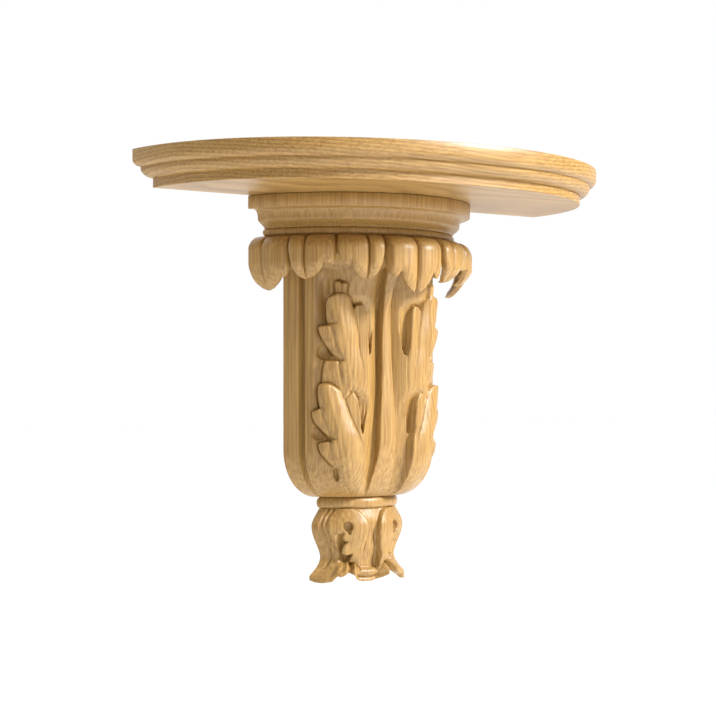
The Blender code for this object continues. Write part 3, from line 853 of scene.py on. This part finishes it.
TONES = ((0.290, 0.162, 0.042), (0.390, 0.234, 0.070), (0.420, 0.257, 0.083), (0.17, 0.087, 0.022))
EVEN_TONES = ((0.355, 0.208, 0.060), *TONES[1:])
WHITE = (1.0, 1.0, 1.0)


def oak(name, along, pith, colours, ring_width, roughness):
    """Clear-lacquered oak. The grain runs along one axis, and the growth rings circle a far pith."""
    material = bpy.data.materials.new(name)
    material.use_nodes = True
    nodes = material.node_tree.nodes
    links = material.node_tree.links
    shader = nodes["Principled BSDF"]

    def node(kind, **values):
        made = nodes.new(kind)
        for key, value in values.items():
            setattr(made, key, value)
        return made

    def math_node(operation, first, second=None, third=None):
        made = node("ShaderNodeMath", operation=operation)
        for socket, value in zip(made.inputs, (first, second, third)):
            if value is None:
                continue
            if isinstance(value, (int, float)):
                socket.default_value = value
            else:
                links.new(value, socket)
        return made.outputs[0]

    def mapped(scale):
        mapping = node("ShaderNodeMapping")
        mapping.inputs["Scale"].default_value = scale
        links.new(coordinates, mapping.inputs["Vector"])
        return mapping.outputs["Vector"]

    def noise(vector, scale, detail=2.0, rough=0.5):
        made = node("ShaderNodeTexNoise")
        made.inputs["Scale"].default_value = scale
        made.inputs["Detail"].default_value = detail
        made.inputs["Roughness"].default_value = rough
        links.new(vector, made.inputs["Vector"])
        return made.outputs["Fac"]

    def stretched(fine, long):
        scale = [fine, fine, fine]
        scale[along] = long
        return mapped(scale)

    def ramp(value, *stops):
        made = node("ShaderNodeValToRGB")
        elements = made.color_ramp.elements
        while len(elements) < len(stops):
            elements.new(0.5)
        for element, (place, colour) in zip(elements, stops):
            element.position = place
            element.color = (*colour, 1.0)
        links.new(value, made.inputs["Fac"])
        return made.outputs["Color"]

    def mix(kind, share, first, second):
        made = node("ShaderNodeMix", data_type="RGBA", blend_type=kind)
        for key, value in (("Factor", share), ("A", first), ("B", second)):
            socket = made.inputs[key]
            if isinstance(value, (int, float)):
                socket.default_value = value
            elif isinstance(value, tuple):
                socket.default_value = (*value, 1.0)
            else:
                links.new(value, socket)
        return made.outputs["Result"]

    coordinates = node("ShaderNodeTexCoord").outputs["Object"]
    split = node("ShaderNodeSeparateXYZ")
    links.new(coordinates, split.inputs[0])
    across = [axis for axis in range(3) if axis != along]
    wander = noise(stretched(1.0, 0.55), 9.0, 2.0)
    offsets = []
    for axis, centre in zip(across, pith):
        moved = math_node("SUBTRACT", split.outputs[axis], centre)
        offsets.append(math_node("POWER", moved, 2.0))
    distance = math_node("SQRT", math_node("ADD", *offsets))
    distance = math_node("ADD", distance, math_node("MULTIPLY", wander, ring_width * 5.0))
    ring = math_node("FRACT", math_node("DIVIDE", distance, ring_width))
    fall = math_node("MULTIPLY", math_node("SUBTRACT", 1.0, ring), 4.0)
    late = math_node("SMOOTH_MIN", ring, fall, 0.15)
    pores = noise(stretched(1000.0, 16.0), 1.0, 2.0, 0.6)
    fibre = noise(stretched(560.0, 11.0), 1.0, 3.0, 0.6)
    cloud = noise(stretched(1.0, 0.3), 26.0, 2.0)
    base = ramp(late, (0.0, colours[0]), (0.45, colours[1]), (1.0, colours[2]))
    base = mix("MULTIPLY", 0.85, base, ramp(fibre, (0.34, (0.68, 0.58, 0.46)), (0.60, WHITE)))
    early = math_node("SUBTRACT", 1.0, math_node("MULTIPLY", ring, 0.75))
    pore_mask = math_node("MULTIPLY", math_node("GREATER_THAN", pores, 0.60), early)
    pore_soft = math_node("MULTIPLY", pore_mask, 0.55)
    base = mix("MIX", pore_soft, base, colours[3])
    base = mix("MULTIPLY", 0.5, base, ramp(cloud, (0.30, (0.86, 0.82, 0.78)), (0.70, WHITE)))
    links.new(base, shader.inputs["Base Color"])
    gloss = math_node("MULTIPLY_ADD", fibre, 0.10, roughness - 0.05)
    links.new(math_node("ADD", gloss, math_node("MULTIPLY", pore_mask, 0.12)), shader.inputs["Roughness"])
    shader.inputs["Coat Weight"].default_value = 0.12
    shader.inputs["Coat Roughness"].default_value = 0.30
    shader.inputs["Specular IOR Level"].default_value = 0.42
    relief = math_node("SUBTRACT", math_node("MULTIPLY", fibre, 0.5), math_node("MULTIPLY", pore_mask, 0.6))
    bump_node = node("ShaderNodeBump")
    bump_node.inputs["Strength"].default_value = 0.22
    bump_node.inputs["Distance"].default_value = 0.0004
    links.new(relief, bump_node.inputs["Height"])
    links.new(bump_node.outputs["Normal"], shader.inputs["Normal"])
    return material


# Stage, lights and camera

FLOOR_Z = -0.75
FLOOR_REACH = 40.0
FLOOR_WHITE = 0.95
CAMERA_YAW = 35.72
CAMERA_PLACE = (-0.9290, -1.2927, -0.1524)
LENS = 92.7
PHOTO_SHIFT = 0.0633
# How bright the room is by the direction looked in: towards the wall behind, and upwards.
ROOM_BEHIND = {"From Min": -0.10, "From Max": 0.55, "To Min": 0.22, "To Max": 1.0}
ROOM_ABOVE = {"From Min": 0.40, "From Max": 0.75, "To Min": 0.0, "To Max": 0.85}
LAMP_TARGET = (0.0, -0.06, -0.10)


def make_stage():
    """A pale floor well below the shelf."""
    reach = FLOOR_REACH
    corners = [(-reach, -reach), (reach, -reach), (reach, reach), (-reach, reach)]
    mesh = bpy.data.meshes.new("floor")
    mesh.from_pydata([(x, y, FLOOR_Z) for x, y in corners], [], [(0, 1, 2, 3)])
    floor = bpy.data.objects.new("floor", mesh)
    bpy.context.scene.collection.objects.link(floor)
    paint = bpy.data.materials.new("pale_floor")
    paint.use_nodes = True
    shader = paint.node_tree.nodes["Principled BSDF"]
    shader.inputs["Base Color"].default_value = (FLOOR_WHITE, FLOOR_WHITE, FLOOR_WHITE, 1.0)
    shader.inputs["Roughness"].default_value = 0.9
    floor.data.materials.append(paint)


def area_light(name, place, watts, size):
    """A square lamp that faces the shelf."""
    light = bpy.data.lights.new(name, "AREA")
    light.energy = watts
    light.size = size
    lamp = bpy.data.objects.new(name, light)
    lamp.location = place
    lamp.rotation_euler = (Vector(LAMP_TARGET) - Vector(place)).to_track_quat("-Z", "Y").to_euler()
    bpy.context.scene.collection.objects.link(lamp)


def make_light():
    """A room that is white behind and overhead and dimmer in front, a key lamp and a weak fill."""
    bpy.context.scene.view_settings.view_transform = "Standard"
    world = bpy.data.worlds.new("studio")
    bpy.context.scene.world = world
    world.use_nodes = True
    nodes = world.node_tree.nodes
    links = world.node_tree.links
    sky = nodes["Background"]
    sky.inputs["Color"].default_value = (*WHITE, 1.0)
    place = nodes.new("ShaderNodeTexCoord")
    split = nodes.new("ShaderNodeSeparateXYZ")
    total = nodes.new("ShaderNodeMath")
    links.new(place.outputs["Generated"], split.inputs[0])
    links.new(total.outputs["Value"], sky.inputs["Strength"])
    for index, (axis, values) in enumerate((("Y", ROOM_BEHIND), ("Z", ROOM_ABOVE))):
        ramp = nodes.new("ShaderNodeMapRange")
        for name, value in values.items():
            ramp.inputs[name].default_value = value
        links.new(split.outputs[axis], ramp.inputs["Value"])
        links.new(ramp.outputs["Result"], total.inputs[index])
    area_light("key", (1.10, -1.55, 0.85), 84.0, 0.42)
    area_light("fill", (-0.3, -2.0, 0.0), 5.0, 0.9)


def make_camera():
    """The photograph's viewpoint."""
    data = bpy.data.cameras.new("camera")
    data.lens = LENS
    data.sensor_width = 36.0
    data.shift_y = PHOTO_SHIFT
    camera = bpy.data.objects.new("camera", data)
    camera.location = CAMERA_PLACE
    camera.rotation_euler = (math.radians(90), 0.0, -math.radians(CAMERA_YAW))
    bpy.context.scene.collection.objects.link(camera)
    bpy.context.scene.camera = camera


def main():
    make_stage()
    make_light()
    make_camera()
    bracket = make_bracket()
    bracket.data.materials.append(oak("bracket_oak", 2, (0.16, 0.17), EVEN_TONES, 0.0027, 0.42))
    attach(bracket, "root")
    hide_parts("carved_bracket")
    board = make_board()
    board.data.materials.append(oak("board_oak", 0, (-0.05, -0.55), TONES, 0.0030, 0.40))
    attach(board, "root")
    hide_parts("shelf_board")


main()
